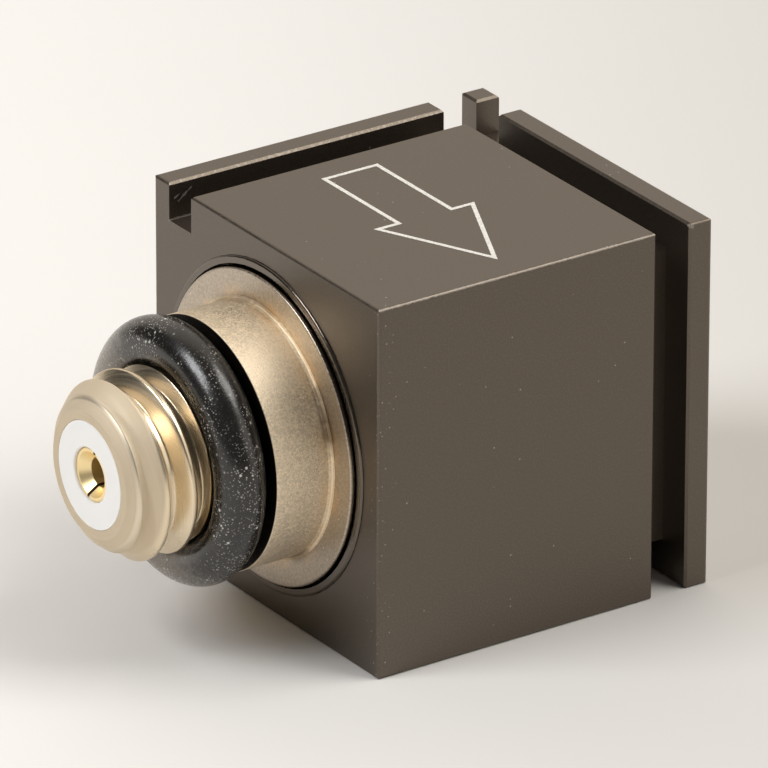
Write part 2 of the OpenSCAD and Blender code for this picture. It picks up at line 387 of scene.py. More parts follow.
def use(tree, group, inputs):
    """Places a node group in a material and returns its outputs."""
    return add_node(tree, "Group", node_tree=group, inputs=inputs).outputs


# %% Group: grain
def make_grain():
    """Noise with features of a given size, as of a fine matt surface."""
    group, given, made = new_group("grain", {"Point": (0, 0, 0), "Size": 0.1}, ["Grain"])
    scale = calc(group, "DIVIDE", 1.0, given["Size"])
    noise = add_node(group, "TexNoise", inputs={"Vector": given["Point"], "Scale": scale, "Detail": 2.0})
    group.links.new(noise.outputs[0], made["Grain"])
    return group


grain = make_grain()
print("group", grain.name)

# %% Group: dust
def make_dust():
    """Specks at random places: space is split into cells, a share of the cells has a speck, and the speck
    covers the points that are nearer to the cell's middle than a radius of its own."""
    inputs = {"Point": (0, 0, 0), "Spacing": 0.3, "Radius": 0.03, "Share": 0.2}
    group, given, made = new_group("dust", inputs, ["Dust"])
    scale = calc(group, "DIVIDE", 1.0, given["Spacing"])
    cells = add_node(group, "TexVoronoi", inputs={"Vector": given["Point"], "Scale": scale})
    chance = add_node(group, "SeparateColor", inputs={0: cells.outputs["Color"]}).outputs
    distance = calc(group, "MULTIPLY", cells.outputs["Distance"], given["Spacing"])
    radius = calc(group, "MULTIPLY", given["Radius"], between(group, chance["Green"], 0.35, 1.0))
    inside = ramp(group, calc(group, "DIVIDE", distance, radius), 1.0, 0.55)
    present = calc(group, "LESS_THAN", chance["Red"], given["Share"])
    group.links.new(calc(group, "MULTIPLY", inside, present), made["Dust"])
    return group


dust = make_dust()
print("group", dust.name)

# %% Group: thin line
def make_thin_line():
    """A line from one point to another. The nearest point on it is start + t * (end - start), with t the
    share of the way kept from 0 to 1, and the line covers what is nearer than half its width. Noise
    breaks it up."""
    inputs = {"Point": (0, 0, 0), "Start": (0, 0, 0), "End": (1, 0, 0), "Width": 0.1, "Breaks": 0.5}
    group, given, made = new_group("thin_line", inputs, ["Line"])
    along = vector_calc(group, "SUBTRACT", given["End"], given["Start"]).outputs[0]
    away = vector_calc(group, "SUBTRACT", given["Point"], given["Start"]).outputs[0]
    shadow = vector_calc(group, "DOT_PRODUCT", away, along).outputs["Value"]
    length_squared = vector_calc(group, "DOT_PRODUCT", along, along).outputs["Value"]
    way = calc(group, "DIVIDE", shadow, length_squared)
    share = add_node(group, "Clamp", inputs={"Value": way}).outputs[0]
    scaled = add_node(group, "VectorMath", operation="SCALE", inputs={0: along, "Scale": share}).outputs[0]
    offset = vector_calc(group, "SUBTRACT", away, scaled).outputs[0]
    distance = vector_calc(group, "LENGTH", offset).outputs["Value"]
    noise = add_node(group, "TexNoise", inputs={"Vector": given["Point"], "Scale": 9.0, "Detail": 3.0})
    broken = calc(group, "MULTIPLY", calc(group, "SUBTRACT", noise.outputs[0], 0.5), given["Breaks"])
    widths = calc(group, "DIVIDE", distance, given["Width"])
    reach = calc(group, "SUBTRACT", widths, calc(group, "MULTIPLY", broken, 2.0))
    group.links.new(ramp(group, reach, 0.62, 0.38), made["Line"])
    return group


thin_line = make_thin_line()
print("group", thin_line.name)

# %% Group: stain
def make_stain():
    """A soft spot with a ragged rim: its distance over its radius, pushed about by noise."""
    inputs = {"Point": (0, 0, 0), "Centre": (0, 0, 0), "Radius": 1.0, "Ragged": 0.5}
    group, given, made = new_group("stain", inputs, ["Stain"])
    away = vector_calc(group, "SUBTRACT", given["Point"], given["Centre"]).outputs[0]
    distance = calc(group, "DIVIDE", vector_calc(group, "LENGTH", away).outputs["Value"], given["Radius"])
    noise = add_node(group, "TexNoise", inputs={"Vector": given["Point"], "Scale": 5.0, "Detail": 4.0})
    pushed = calc(group, "MULTIPLY", calc(group, "SUBTRACT", noise.outputs[0], 0.5), given["Ragged"])
    group.links.new(ramp(group, calc(group, "ADD", distance, pushed), 1.0, 0.2), made["Stain"])
    return group


stain = make_stain()
print("group", stain.name)

# %% Group: lathe coordinates
def make_lathe():
    """Distance of a point from the connector face, and its radius about the connector's axis."""
    group, given, made = new_group("lathe", {"Point": (0, 0, 0)}, ["Distance", "Radius"])
    x, y, z = add_node(group, "SeparateXYZ", inputs={0: given["Point"]}).outputs
    across, up = calc(group, "SUBTRACT", axis_y, y), calc(group, "SUBTRACT", z, axis_z)
    group.links.new(calc(group, "SUBTRACT", face_x, x), made["Distance"])
    squares = calc(group, "ADD", calc(group, "MULTIPLY", across, across), calc(group, "MULTIPLY", up, up))
    group.links.new(calc(group, "SQRT", squares), made["Radius"])
    return group


lathe = make_lathe()
print("group", lathe.name)

# %% Group: turning marks
def make_turning_marks():
    """Fine rings left by a lathe tool: noise along one line, so that it changes only across the rings."""
    group, given, made = new_group("turning_marks", {"Place": 0.0, "Feed": 0.05}, ["Marks"])
    steps = calc(group, "DIVIDE", given["Place"], given["Feed"])
    inputs = {"W": steps, "Scale": 1.0, "Detail": 2.0}
    noise = add_node(group, "TexNoise", noise_dimensions="1D", inputs=inputs)
    group.links.new(noise.outputs[0], made["Marks"])
    return group


turning_marks = make_turning_marks()
print("group", turning_marks.name)

# %% [markdown]
# ## Housing
#
# The cube was milled from aluminium and hard-anodised, which grows a dark brown-grey oxide on it. The
# oxide is a clear, fairly dense layer over a dark ground, so it behaves as a dark material with a
# strong, blurred gloss, and its colour in a picture is mostly the pale room that it mirrors. The CAD
# node has the true shape with its slots and rounded edges, so it is kept and gets the finish: fine
# grain, a few specks and pits, and bright metal where the oxide has worn off the edges. Along the
# two rounded top edges these bright lines are painted highlights as well as wear.

# %% Anodised finish
flange_thick, slot_width = 0.7, 1.0
lip_radius, mouth_depth = 4.38, 1.0


def anodised_finish():
    """Dark oxide with rubbed edges, specks and pits, smoother on the turned lip and in the bore. The bright
    lines on the two top edges are painted highlights as well as wear.
    """
    fixed = {"IOR": 2.1, "Specular Tint": (1.0, 0.84, 0.68, 1)}
    material, tree, shader, point = new_finish("anodised_aluminium", fixed)
    x_low, y_low = face_x, housing_low[1]
    x_high, y_high, top = housing_high
    block_end, flange_inner = x_high - flange_thick - slot_width, y_high - flange_thick
    clouds = use(tree, grain, {"Point": point, "Size": 1.6})["Grain"]
    fine = use(tree, grain, {"Point": point, "Size": 0.05})["Grain"]
    oxide = blend(tree, clouds, (0.005, 0.004, 0.003), (0.009, 0.007, 0.005))
    oxide = blend(tree, ramp(tree, fine, 0.40, 0.75), oxide, (0.036, 0.030, 0.025))
    pits = use(tree, dust, {"Point": point, "Spacing": 0.9, "Radius": 0.10, "Share": 0.16})["Dust"]
    colour = blend(tree, calc(tree, "MULTIPLY", pits, 0.55), oxide, (0.008, 0.007, 0.006))
    specks = use(tree, dust, {"Point": point, "Spacing": 0.26, "Radius": 0.034, "Share": 0.08})["Dust"]
    near_corner = {
        "Point": point,
        "Start": (x_low, y_low, 0),
        "End": (x_low, y_low, top),
        "Width": 0.8,
        "Breaks": 1.0,
    }
    crumbs = use(tree, dust, {"Point": point, "Spacing": 0.10, "Radius": 0.026, "Share": 0.45})["Dust"]
    crumbs = calc(tree, "MULTIPLY", crumbs, use(tree, thin_line, near_corner)["Line"])
    colour = blend(tree, calc(tree, "MAXIMUM", specks, crumbs), colour, (0.27, 0.255, 0.235))
    # Start, end, width and breaks of each worn place. The first two, along the rounded top edges, are
    # painted highlights as well as wear.
    wear_and_highlight_lines = [
        ((x_low, y_low, top), (block_end, y_low, top), 0.10, 0.35),
        ((x_low, flange_inner, top), (block_end, flange_inner, top), 0.08, 0.9),
        (
            (x_high - flange_thick, y_low + 0.08, top - 0.06),
            (x_high - flange_thick + 0.08, y_low + 0.02, top - 0.08),
            0.09,
            0.5,
        ),
        ((x_low, flange_inner, top - 1.0), (x_low + 0.8, flange_inner, top - 1.0), 0.06, 0.6),
        ((x_low + 0.28, flange_inner, top - 0.54), (x_low + 0.66, flange_inner, top - 0.26), 0.04, 1.5),
        ((x_low + 0.16, flange_inner, top - 0.44), (x_low + 0.30, flange_inner, top - 0.36), 0.04, 1.5),
    ]
    wear_and_highlight = 0.0
    for start, end, width, breaks in wear_and_highlight_lines:
        inputs = {"Point": point, "Start": start, "End": end, "Width": width, "Breaks": breaks}
        wear_and_highlight = calc(tree, "MAXIMUM", wear_and_highlight, use(tree, thin_line, inputs)["Line"])
    # Bright lines of wear, which on the two top edges are painted highlights as well.
    colour = blend(tree, calc(tree, "MULTIPLY", wear_and_highlight, 0.55), colour, (0.32, 0.30, 0.28))
    turned = use(tree, lathe, {"Point": point})
    on_lip = calc(tree, "LESS_THAN", turned["Radius"], lip_radius)
    on_lip = calc(tree, "MULTIPLY", on_lip, calc(tree, "GREATER_THAN", turned["Distance"], -mouth_depth))
    rough = calc(tree, "SUBTRACT", between(tree, fine, 0.30, 0.44), calc(tree, "MULTIPLY", on_lip, 0.24))
    connect(tree, shader, Base_Color=colour, Roughness=rough, Normal=bump(tree, fine, 0.0030))
    return material


anodised = anodised_finish()
frame["nodes"]["housing"].data.materials[0] = anodised
print("housing wears", anodised.name)

# %% [markdown]
# ## Arrow on the top
#
# The measuring direction is marked by an outline arrow, burnt through the oxide so that bright metal
# shows. It could be painted by the shader, but a ribbon of its own keeps crisp edges from any side.
# Each corner of the path has a mitre vector, along which both rims of the ribbon are moved. Between two
# corners the vectors are mixed in proportion, which keeps the rims straight.

# %% Arrow ribbon
arrow_x, tail_y, head_y, tip_y = -0.85, 2.36, -0.94, -3.96
shaft_half, head_half = 0.79, 1.42
stroke, proud, sunk = 0.125, 0.006, 0.02
ribbon_step = 0.04
ragged_share, ragged_waves = 0.05, (41, 17)


def ribbon_along(path, offsets, heights, step):
    """Carries a cross-section of (offset, height) points along a closed path on the top of the housing. A
    corner's mitre vector is the sum of the two side normals over 1 + their product, so that it is 1 across
    each side."""
    sides = unit(np.roll(path, -1, axis=0) - path)
    normals = np.stack([sides[:, 1], -sides[:, 0]], axis=1)
    last = np.roll(normals, 1, axis=0)
    mitre = (normals + last) / (1 + (normals * last).sum(axis=1, keepdims=True))
    corners = np.vstack([np.hstack([path, mitre]), np.hstack([path, mitre])[:1]])
    passed = np.r_[0, np.cumsum(np.linalg.norm(np.diff(corners[:, :2], axis=0), axis=1))]
    stops = np.union1d(passed, np.arange(0, passed[-1], step))[:-1]
    x, y, across_x, across_y = (np.interp(stops, passed, column)[:, None] for column in corners.T)
    waves = np.sin(stops * ragged_waves[0]) * np.sin(stops * ragged_waves[1])
    ragged = 1 + ragged_share * waves[:, None]
    offsets = np.array(offsets)[None, :] * ragged
    height = np.broadcast_to(housing_high[2] + np.array(heights)[None, :], offsets.shape)
    return np.stack([x + offsets * across_x, y + offsets * across_y, height], axis=-1)


arrow_path = np.array([
    [arrow_x - shaft_half, tail_y],
    [arrow_x + shaft_half, tail_y],
    [arrow_x + shaft_half, head_y],
    [arrow_x + head_half, head_y],
    [arrow_x, tip_y],
    [arrow_x - head_half, head_y],
    [arrow_x - shaft_half, head_y],
])
half_stroke = stroke / 2
ribbon = ribbon_along(
    arrow_path,
    [-half_stroke, -half_stroke + proud, half_stroke - proud, half_stroke],
    [-sunk, proud, proud, -sunk],
    ribbon_step,
)

# %% Burnt mark
def burnt_finish():
    """Bare, finely molten metal, almost white."""
    material, tree, shader, point = new_finish("burnt_mark", {"IOR": 1.5})
    fine = use(tree, grain, {"Point": point, "Size": 0.045})["Grain"]
    colour = blend(tree, ramp(tree, fine, 0.3, 0.7), (0.66, 0.63, 0.58), (0.90, 0.88, 0.84))
    connect(tree, shader, Base_Color=colour, Roughness=between(tree, fine, 0.5, 0.7))
    connect(tree, shader, Normal=bump(tree, fine, 0.004))
    return material


add_piece(
    "direction_arrow",
    ribbon,
    grid_faces(*ribbon.shape[:2], True),
    [burnt_finish()],
)

# %% [markdown]
# ## End cap and neck
#
# The disc that closes the bore and the neck of the connector are steel, blasted with fine glass beads
# after welding, which leaves a sparkling grain. Along the weld the steel kept an orange tint from the
# heat. The cap was blasted less, so it is darker and mirrors the neck, and one finish with other values
# serves both. The cap is an outline of its section carried round the axis. A Screw modifier could do
# the same, but working it out puts the points exactly where the rounding needs them.

# %% Blasted steel
neck_radius, neck_front, weld_fillet = 3.3, 1.85, 0.12
weld_hollow = weld_fillet * 0.3
facet_scale = 21.0
# Angle in degrees, radius and strength of each dark spot along the weld. The three on the top, at 84
# to 118 degrees, are painted shade; the others are scorch marks.
weld_spots = [
    (118, 0.7, 0.35),
    (100, 0.8, 0.5),
    (84, 0.7, 0.35),
    (36, 0.4, 0.5),
    (28, 0.5, 0.7),
    (19, 0.6, 0.8),
    (-56, 0.7, 0.5),
]
cap_back, cap_front, cap_radius = turned_size("end_cap")


def blasted_finish(name, dark, light, rough_range, depth):
    """Bead-blasted steel: tiny facets from dark to light, with a heat tint and dark spots along the weld,
    scorched in most places and painted shade on the top. The wall of the cap is smoother and painted darker
    as shade, and the shoulder behind the sealing ring is painted black as shade."""
    material, tree, shader, point = new_finish(name, {"Metallic": 1.0})
    turned = use(tree, lathe, {"Point": point})
    facets = add_node(tree, "TexVoronoi", inputs={"Vector": point, "Scale": facet_scale})
    facet = add_node(tree, "SeparateColor", inputs={0: facets.outputs["Color"]}).outputs["Red"]
    fine = use(tree, grain, {"Point": point, "Size": 0.035})["Grain"]
    clouds = use(tree, grain, {"Point": point, "Size": 0.9})["Grain"]
    steel = blend(tree, facet, dark, light)
    sparkle = use(tree, dust, {"Point": point, "Spacing": 0.16, "Radius": 0.022, "Share": 0.5})["Dust"]
    steel = blend(tree, sparkle, steel, (1.0, 0.97, 0.90))
    out = calc(tree, "SUBTRACT", turned["Distance"], cap_front + weld_hollow)
    across = calc(tree, "SUBTRACT", turned["Radius"], neck_radius + weld_hollow)
    squares = calc(tree, "ADD", calc(tree, "MULTIPLY", out, out), calc(tree, "MULTIPLY", across, across))
    from_weld = calc(tree, "SQRT", squares)
    heat = calc(tree, "MULTIPLY", ramp(tree, from_weld, 0.45, 0.05), ramp(tree, clouds, 0.35, 0.75))
    steel = blend(tree, calc(tree, "MULTIPLY", heat, 0.5), steel, (0.80, 0.54, 0.28))
    steel = blend(tree, ramp(tree, from_weld, 0.030, 0.015), steel, (1.0, 0.82, 0.56))
    by_weld = ramp(tree, from_weld, 0.26, 0.02)
    # Dark spots along the weld: painted shade on the top, scorch marks elsewhere.
    for spot_angle, spot_radius, spot_strength in weld_spots:
        centre = tuple(on_axis(cap_front, neck_radius, np.radians(spot_angle)))
        inputs = {"Point": point, "Centre": centre, "Radius": spot_radius, "Ragged": 1.0}
        weld_spot = calc(tree, "MULTIPLY", use(tree, stain, inputs)["Stain"], by_weld)
        weld_spot = calc(tree, "MULTIPLY", weld_spot, spot_strength)
        steel = blend(tree, weld_spot, steel, (0.20, 0.13, 0.07))
    # The shoulder behind the sealing ring is painted nearly black: painted shade where the ring shadows it.
    shoulder_shade = ramp(tree, turned["Distance"], neck_front - 0.02, neck_front - 0.005)
    steel = blend(tree, shoulder_shade, steel, (0.02, 0.016, 0.012))
    # The cap's wall is smoother, and its darker colour is painted shade.
    wall = ramp(tree, turned["Radius"], cap_radius - 0.025, cap_radius - 0.005)
    steel = blend(tree, calc(tree, "MULTIPLY", wall, 0.7), steel, (0.16, 0.12, 0.09))
    rough = calc(tree, "SUBTRACT", between(tree, facet, *rough_range), calc(tree, "MULTIPLY", wall, 0.2))
    connect(tree, shader, Base_Color=steel, Roughness=rough, Normal=bump(tree, fine, depth))
    return material


blasted = blasted_finish("blasted_steel", (0.74, 0.63, 0.47), (1.0, 0.87, 0.68), (0.46, 0.64), 0.012)
cap_steel = blasted_finish("cap_steel", (0.41, 0.345, 0.275), (0.57, 0.495, 0.405), (0.30, 0.44), 0.006)
print("cap from", round(cap_back, 2), "to", round(cap_front, 2), "mm, radius", round(cap_radius, 2))

# %% End cap
spigot_radius, turned_gap, cap_round = 2.0, 0.01, 0.06
outline_step = 0.06
cap_outline = rounded_outline(
    [
        (cap_back, spigot_radius + turned_gap, 0.01),
        (cap_back, cap_radius, 0.05),
        (cap_front, cap_radius, cap_round),
        (cap_front, spigot_radius + turned_gap, 0.01),
    ],
    outline_step,
)
cap_points = revolved(cap_outline)
add_piece(
    "blasted_cap",
    cap_points,
    grid_faces(*cap_points.shape[:2], True),
    [cap_steel],
    "end_cap",
)

# %% [markdown]
# ## Threaded shell
#
# The shell is one turned piece: a spigot in the cap, the wide neck, a groove for the sealing ring, the
# 10-32 thread and the bored nose. A thread is a groove that winds round, so its radius depends on the
# place along the axis and on the angle: along the axis it repeats after one pitch, and with each full
# turn it moves on by one pitch. The surface takes the smaller of the plain turned outline and the
# thread, which lets the thread run out by itself in the lead-in cone. A Screw modifier makes a thread
# too, but it can't end it in a cone.

# %% Plated, turned metal
thread_start, thread_end, cone_end = 3.26, 4.42, 4.98
shell_back, nose_front, _ = turned_size("connector_shell")
insulator_back, _, insulator_radius = turned_size("insulator")


def plated_finish():
    """Turned and plated brass, a pale gold, with fine tool marks. The nose is matt, with one burnished
    edge."""
    material, tree, shader, point = new_finish("plated_brass", {"Metallic": 1.0})
    turned = use(tree, lathe, {"Point": point})
    walk = calc(tree, "ADD", turned["Distance"], turned["Radius"])
    marks = use(tree, turning_marks, {"Place": walk, "Feed": 0.03})["Marks"]
    clouds = use(tree, grain, {"Point": point, "Size": 0.7})["Grain"]
    metal = blend(tree, clouds, (0.76, 0.62, 0.43), (0.85, 0.74, 0.56))
    spots = use(tree, dust, {"Point": point, "Spacing": 0.3, "Radius": 0.03, "Share": 0.15})["Dust"]
    metal = blend(tree, calc(tree, "MULTIPLY", spots, 0.6), metal, (0.35, 0.24, 0.12))
    nose = ramp(tree, turned["Distance"], thread_end + 0.02, thread_end + 0.12)
    metal = blend(tree, calc(tree, "MULTIPLY", nose, 0.8), metal, (0.75, 0.66, 0.52))
    from_edge = calc(tree, "ABSOLUTE", calc(tree, "SUBTRACT", turned["Distance"], cone_end))
    dull = calc(tree, "MULTIPLY", nose, between(tree, ramp(tree, from_edge, 0.02, 0.07), 0.35, 1.0))
    rough = calc(tree, "ADD", between(tree, marks, 0.22, 0.36), calc(tree, "MULTIPLY", dull, 0.46))
    connect(tree, shader, Base_Color=metal, Roughness=rough, Normal=bump(tree, marks, 0.0016))
    return material


plated = plated_finish()
print("shell from", round(shell_back, 2), "to", round(nose_front, 2), "mm")

# %% Shell surface
pitch, thread_radius, thread_depth, crest_flat, crest_at = 0.794, 2.413, 0.45, 0.11, 4.43
softness = 0.03
seat_radius, seal_radius = 2.15, 1.11
cone_radius, nose_radius = 1.95, 1.65
outside_radius = nose_radius - 0.05
thread_zone = thread_start - 0.2, cone_end + 0.1
fine_zone, fine_step = (thread_start - 0.3, nose_front), 0.008
shell_columns = 144


def soft_least(first, second):
    """The smaller of two values, with the corner where they cross rounded off."""
    return (first + second - np.sqrt((first - second) ** 2 + softness**2)) / 2


def refined(outline, zone, step):
    """Splits the outside stretches of a closed outline, within a zone of distances, into parts no longer
    than step."""
    side = np.roll(outline, -1, axis=0) - outline
    distance, radius = outline.T
    in_zone = (distance > zone[0]) & (distance < zone[1]) & (radius > outside_radius)
    parts = np.where(in_zone, np.ceil(np.linalg.norm(side, axis=1) / step), 1).astype(int)
    index = np.repeat(np.arange(len(outline)), parts)
    share = (np.arange(len(index)) - np.repeat(np.cumsum(parts) - parts, parts)) / parts[index]
    return outline[index] + share[:, None] * side[index]


def threaded(distance, radius, angle):
    """The smaller of a plain radius and a 60 degree thread. The thread falls from a flat crest by
    1 / tan(30 degrees) for each step along the axis, down to its root, and all its corners are soft."""
    turns = (distance - crest_at) / pitch - angle / (2 * np.pi)
    from_crest = np.abs(turns - np.round(turns)) * pitch
    fall = (from_crest - crest_flat / 2) / math.tan(math.radians(30))
    fall = soft_least(-soft_least(-fall, 0), thread_depth)
    in_zone = (distance > thread_zone[0]) & (distance < thread_zone[1]) & (radius > outside_radius)
    return np.where(in_zone, soft_least(radius, thread_radius - fall), radius)


shell_outline = rounded_outline(
    [
        (shell_back, seal_radius, 0.01),
        (shell_back, spigot_radius, 0.05),
        (cap_front, spigot_radius, 0.01),
        (cap_front, neck_radius + weld_fillet, 0.005),
        (cap_front + weld_hollow, neck_radius + weld_hollow, 0.04),
        (cap_front + weld_fillet, neck_radius, 0.04),
        (neck_front, neck_radius, 0.04),
        (neck_front, seat_radius, 0.08),
        (thread_start - (thread_radius - seat_radius), seat_radius, 0.05),
        (thread_start, thread_radius, 0.03),
        (thread_end, thread_radius, 0.03),
        (cone_end, cone_radius, 0.04),
        (nose_front, nose_radius, 0.05),
        (nose_front, insulator_radius + turned_gap, 0.012),
        (insulator_back, insulator_radius + turned_gap, 0.02),
        (insulator_back, seal_radius, 0.02),
    ],
    outline_step,
)
shell_outline = refined(shell_outline, fine_zone, fine_step)
angle = np.linspace(0, 2 * np.pi, shell_columns, endpoint=False)[None, :]
distance, radius = shell_outline[:, :1], shell_outline[:, 1:]
shell_points = on_axis(distance, threaded(distance, radius, angle), angle)
shell = add_piece(
    "threaded_shell",
    shell_points,
    grid_faces(*shell_points.shape[:2], True),
    [blasted, plated],
    "connector_shell",
)

# %% Which faces are plated
plated_from = neck_front + 0.2
face_middle = np.empty(len(shell.data.polygons) * 3)
shell.data.polygons.foreach_get("center", face_middle)
in_front = face_x - face_middle.reshape(-1, 3)[:, 0] / MM > plated_from
shell.data.polygons.foreach_set("material_index", in_front.astype(np.int32))
shell.data.update()
print(in_front.sum(), "plated faces,", (~in_front).sum(), "blasted ones")

# %% [markdown]
# ## Sealing ring
#
# The ring is black rubber, a little glossy, and rubber draws dust. A torus is the exact form: a circle
# carried round the axis. The dust is painted by the shader in two sizes, denser in some places than in
# others.

# %% Rubber
ring_back, ring_front, ring_outer = turned_size("o_ring")
ring_middle, ring_section = (ring_back + ring_front) / 2, (ring_front - ring_back) / 2
section_points = 96
# Angle in degrees and radius of each grey film: dust, and painted reflection of the pale floor below
# and of a bright backdrop on the upper left
dust_and_reflection_films = [(-100, 3.2), (150, 2.2)]
# Distance from the connector face, angle in degrees and radius
dust_patches = [(2.9, 10, 0.8), (2.3, -8, 1.0), (2.3, -36, 1.2), (2.6, 100, 1.0)]


def rubber_finish():
    """Black rubber with a broken gloss, grey films that are dust and painted reflection, and specks that
    gather in patches. Its back is dull."""
    material, tree, shader, point = new_finish("black_rubber", {"IOR": 1.6})
    clouds = use(tree, grain, {"Point": point, "Size": 0.8})["Grain"]
    fine = use(tree, grain, {"Point": point, "Size": 0.06})["Grain"]
    rubber = blend(tree, clouds, (0.008, 0.007, 0.006), (0.018, 0.016, 0.014))
    # Grey films of dust, which also paint the reflection of the pale floor and backdrop.
    for film_angle, film_radius in dust_and_reflection_films:
        centre = tuple(on_axis(ring_front, ring_outer, np.radians(film_angle)))
        inputs = {"Point": point, "Centre": centre, "Radius": film_radius, "Ragged": 0.5}
        rubber = blend(tree, use(tree, stain, inputs)["Stain"], rubber, (0.27, 0.24, 0.205))
    patch = ramp(tree, clouds, 0.42, 0.66)
    for patch_distance, patch_angle, patch_radius in dust_patches:
        centre = tuple(on_axis(patch_distance, ring_outer, np.radians(patch_angle)))
        inputs = {"Point": point, "Centre": centre, "Radius": patch_radius, "Ragged": 0.8}
        patch = calc(tree, "MAXIMUM", patch, use(tree, stain, inputs)["Stain"])
    small = use(tree, dust, {"Point": point, "Spacing": 0.06, "Radius": 0.030, "Share": 0.85})["Dust"]
    small = calc(tree, "MULTIPLY", small, patch)
    large = use(tree, dust, {"Point": point, "Spacing": 0.15, "Radius": 0.050, "Share": 0.40})["Dust"]
    large = calc(tree, "MULTIPLY", large, between(tree, patch, 0.25, 1.0))
    dusty = calc(tree, "MAXIMUM", calc(tree, "MULTIPLY", small, 0.6), large)
    colour = blend(tree, dusty, rubber, (0.66, 0.64, 0.60))
    turned = use(tree, lathe, {"Point": point})
    back = ramp(tree, turned["Distance"], ring_middle, ring_back + 0.2)
    dull = calc(tree, "MULTIPLY", calc(tree, "MAXIMUM", fine, back), 0.35)
    dull = calc(tree, "MAXIMUM", dusty, dull)
    rough = between(tree, dull, 0.13, 0.8)
    connect(tree, shader, Base_Color=colour, Roughness=rough, Normal=bump(tree, fine, 0.0025))
    return material


around = np.linspace(0, 2 * np.pi, section_points, endpoint=False)
ring_outline = np.stack([
    ring_middle - ring_section * np.cos(around),
    ring_outer - ring_section + ring_section * np.sin(around),
], axis=1)
ring_points = revolved(ring_outline)
add_piece(
    "sealing_ring",
    ring_points,
    grid_faces(*ring_points.shape[:2], True),
    [rubber_finish()],
    "o_ring",
)

# %% [markdown]
# ## White bush
#
# A bush of white plastic holds the contact in the middle of the nose. It is a short tube with a step
# inside, and its rims are just broken, so its section is outlined with small corner arcs.

# %% Bush
def white_finish():
    """Dull white plastic with a few dark crumbs."""
    material, tree, shader, point = new_finish("white_plastic", {"IOR": 1.4})
    clouds = use(tree, grain, {"Point": point, "Size": 0.5})["Grain"]
    white = blend(tree, clouds, (0.955, 0.945, 0.925), (0.98, 0.975, 0.96))
    crumbs = use(tree, dust, {"Point": point, "Spacing": 0.42, "Radius": 0.045, "Share": 0.22})["Dust"]
    colour = blend(tree, calc(tree, "MULTIPLY", crumbs, 0.5), white, (0.30, 0.24, 0.18))
    connect(tree, shader, Base_Color=colour, Roughness=between(tree, clouds, 0.45, 0.6))
    connect(tree, shader, Normal=bump(tree, clouds, 0.004))
    return material


contact_back, contact_front, contact_radius = turned_size("centre_contact")
socket_length, tail_radius = 2.9, 0.3
socket_back = contact_front - socket_length
bush_columns = 160
bush_outline = rounded_outline(
    [
        (insulator_back, tail_radius + turned_gap, 0.02),
        (insulator_back, insulator_radius, 0.05),
        (nose_front, insulator_radius, 0.012),
        (nose_front, contact_radius + turned_gap, 0.05),
        (socket_back, contact_radius + turned_gap, 0.02),
        (socket_back, tail_radius + turned_gap, 0.02),
    ],
    outline_step,
)
bush_points = revolved(bush_outline, bush_columns)
add_piece(
    "white_bush",
    bush_points,
    grid_faces(*bush_points.shape[:2], True),
    [white_finish()],
    "insulator",
)

# %% [markdown]
# ## Spring contact
#
# The contact is a gold-plated socket, slit across its mouth so that its two leaves spring apart round
# the plug's pin. Cutting a slit into a turned mesh with a Boolean leaves ragged faces. Here the columns
# of the grid are spread over the two leaves and stop at the slit's walls: a wall lies half the slit's
# width from the middle plane, so at a given radius its angle is asin(half width / radius). Faces that
# would bridge the slit are left out there, and flat walls and a floor close the gap.

# %% Gold
slit_half, slit_depth, slit_turn = 0.04, 1.8, math.radians(77)


def gold_finish():
    """Gold plating with soft tool marks; the walls of the slit between the leaves are painted dark as
    shade.
    """
    material, tree, shader, point = new_finish("gold_plate", {"Metallic": 1.0})
    turned = use(tree, lathe, {"Point": point})
    walk = calc(tree, "ADD", turned["Distance"], turned["Radius"])
    marks = use(tree, turning_marks, {"Place": walk, "Feed": 0.02})["Marks"]
    gold = blend(tree, marks, (0.98, 0.75, 0.38), (1.0, 0.85, 0.52))
    from_axis = vector_calc(tree, "SUBTRACT", point, (face_x, axis_y, axis_z)).outputs[0]
    across_slit = (0, math.sin(slit_turn), math.cos(slit_turn))
    from_slit = vector_calc(tree, "DOT_PRODUCT", from_axis, across_slit).outputs["Value"]
    # The walls of the slit are painted dark: painted shade inside the narrow slit.
    slit_shade = ramp(tree, calc(tree, "ABSOLUTE", from_slit), slit_half + 0.012, slit_half + 0.002)
    gold = blend(tree, slit_shade, gold, (0.26, 0.14, 0.06))
    connect(tree, shader, Base_Color=gold, Roughness=between(tree, marks, 0.34, 0.50))
    connect(tree, shader, Normal=bump(tree, marks, 0.001))
    return material


gold = gold_finish()
print("contact radius", round(contact_radius, 2), "mm")

# %% Contact surface
hole_radius, hole_depth, drill_tip, funnel_radius, funnel_depth = 0.39, 2.2, 0.1, 0.6, 0.25
slit_floor = contact_front - slit_depth
hole_end = contact_front - hole_depth
rim = 0.04
leaf_columns = 41


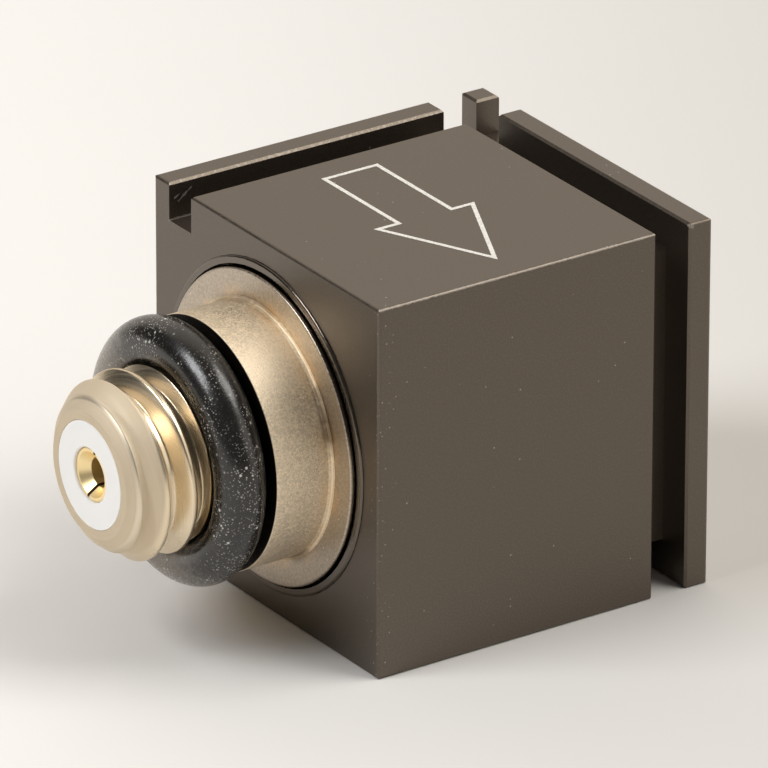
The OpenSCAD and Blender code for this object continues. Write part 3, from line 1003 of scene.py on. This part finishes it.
def contact_outline():
    """Half section of the contact from the end of its tail, round the mouth, to the bottom of its hole. The
    mouth's rim is a quarter circle. Returns the outline and the first and last row that the slit cuts."""
    quarter = np.linspace(0, np.pi / 2, 7)[:, None]
    lip = [contact_front - rim, contact_radius - rim] + rim * np.hstack([np.sin(quarter), np.cos(quarter)])
    outside = np.linspace(slit_floor, contact_front - rim, 12)[:-1, None]
    funnel = np.linspace(0, 1, 8)[:, None]
    mouth = [contact_front, funnel_radius] + funnel * [-funnel_depth, hole_radius - funnel_radius]
    inside = np.linspace(contact_front - funnel_depth, slit_floor, 10)[1:, None]
    back = np.array([
        [contact_back, 0],
        [contact_back, tail_radius],
        [socket_back, tail_radius],
        [socket_back, contact_radius],
    ])
    bottom = np.array([[hole_end, hole_radius], [hole_end - drill_tip, 0]])
    outside = np.hstack([outside, np.full_like(outside, contact_radius)])
    inside = np.hstack([inside, np.full_like(inside, hole_radius)])
    outline = np.vstack([back, outside, lip, mouth, inside, bottom])
    return outline, len(back), len(outline) - len(bottom) - 1


outline, slit_first, slit_last = contact_outline()
leaf = np.linspace(-1, 1, leaf_columns)
wall_angle = np.arcsin(np.minimum(slit_half / np.maximum(outline[:, 1:], hole_radius), 1))
one_leaf = leaf[None, :] * (np.pi / 2 - wall_angle)
columns = np.hstack([one_leaf, one_leaf + np.pi]) + slit_turn + np.pi / 2
contact_points = on_axis(outline[:, :1], outline[:, 1:], columns)

# %% Contact faces
rows, count = columns.shape
all_faces = np.array(grid_faces(rows, count, False)).reshape(rows - 1, count, 4)
row_number, column_number = np.meshgrid(np.arange(rows - 1), np.arange(count), indexing="ij")
last_columns = [count // 2 - 1, count - 1]
bridges = np.isin(column_number, last_columns) & (row_number >= slit_first) & (row_number < slit_last)
contact_faces = all_faces[~bridges].tolist()
slit_rows = np.arange(slit_first, slit_last + 1)
for last_column in last_columns:
    next_column = (last_column + 1) % count
    contact_faces.append((slit_rows * count + last_column).tolist())
    contact_faces.append((slit_rows[::-1] * count + next_column).tolist())
    floor_ends = [
        (slit_first, last_column),
        (slit_first, next_column),
        (slit_last, next_column),
        (slit_last, last_column),
    ]
    contact_faces.append([row * count + column for row, column in floor_ends])
add_piece("spring_socket", contact_points, contact_faces, [gold], "centre_contact", 30)

# %% [markdown]
# ## Inside the case
#
# The sensing element is sealed in and can't be seen, so its CAD nodes keep their shapes. They still get
# finishes of their own, for anyone who opens the case: turned steel, dull ceramic, heavy alloy, gold
# and green sealing glass.

# %% Finishes of the inner pieces
def plain_finish(name, fixed, dark, light, size, rough):
    """One colour that varies with grain of a given size, and a roughness that follows it."""
    material, tree, shader, point = new_finish(name, fixed)
    fine = use(tree, grain, {"Point": point, "Size": size})["Grain"]
    connect(tree, shader, Base_Color=blend(tree, fine, dark, light))
    connect(tree, shader, Roughness=between(tree, fine, *rough), Normal=bump(tree, fine, 0.003))
    return material


metal = {"Metallic": 1.0}
inner_looks = [
    ("turned_steel", metal, (0.46, 0.45, 0.43), (0.62, 0.61, 0.59), 0.08, (0.25, 0.4)),
    ("heavy_alloy", metal, (0.25, 0.25, 0.26), (0.36, 0.36, 0.38), 0.06, (0.35, 0.5)),
    ("piezo_ceramic", {}, (0.60, 0.52, 0.34), (0.72, 0.64, 0.44), 0.05, (0.6, 0.8)),
    ("seal_glass", {}, (0.03, 0.07, 0.06), (0.06, 0.12, 0.10), 0.3, (0.05, 0.15)),
]
inner_finishes = {look[0]: plain_finish(*look) for look in inner_looks}
inner_finishes["gold_plate"] = gold
inner_nodes = [
    "glass_seal", "element_base", "piezo_plate_upper", "piezo_plate_lower", "seismic_mass_upper",
    "seismic_mass_lower", "clamp_ring", "signal_lead",
]
slots = {part["node"]: part["material_slot"] for part in frame["record"]["subparts"]}
for node in inner_nodes:
    frame["nodes"][node].data.materials[0] = inner_finishes[slots[node]]
print("finished", len(inner_nodes), "inner nodes")
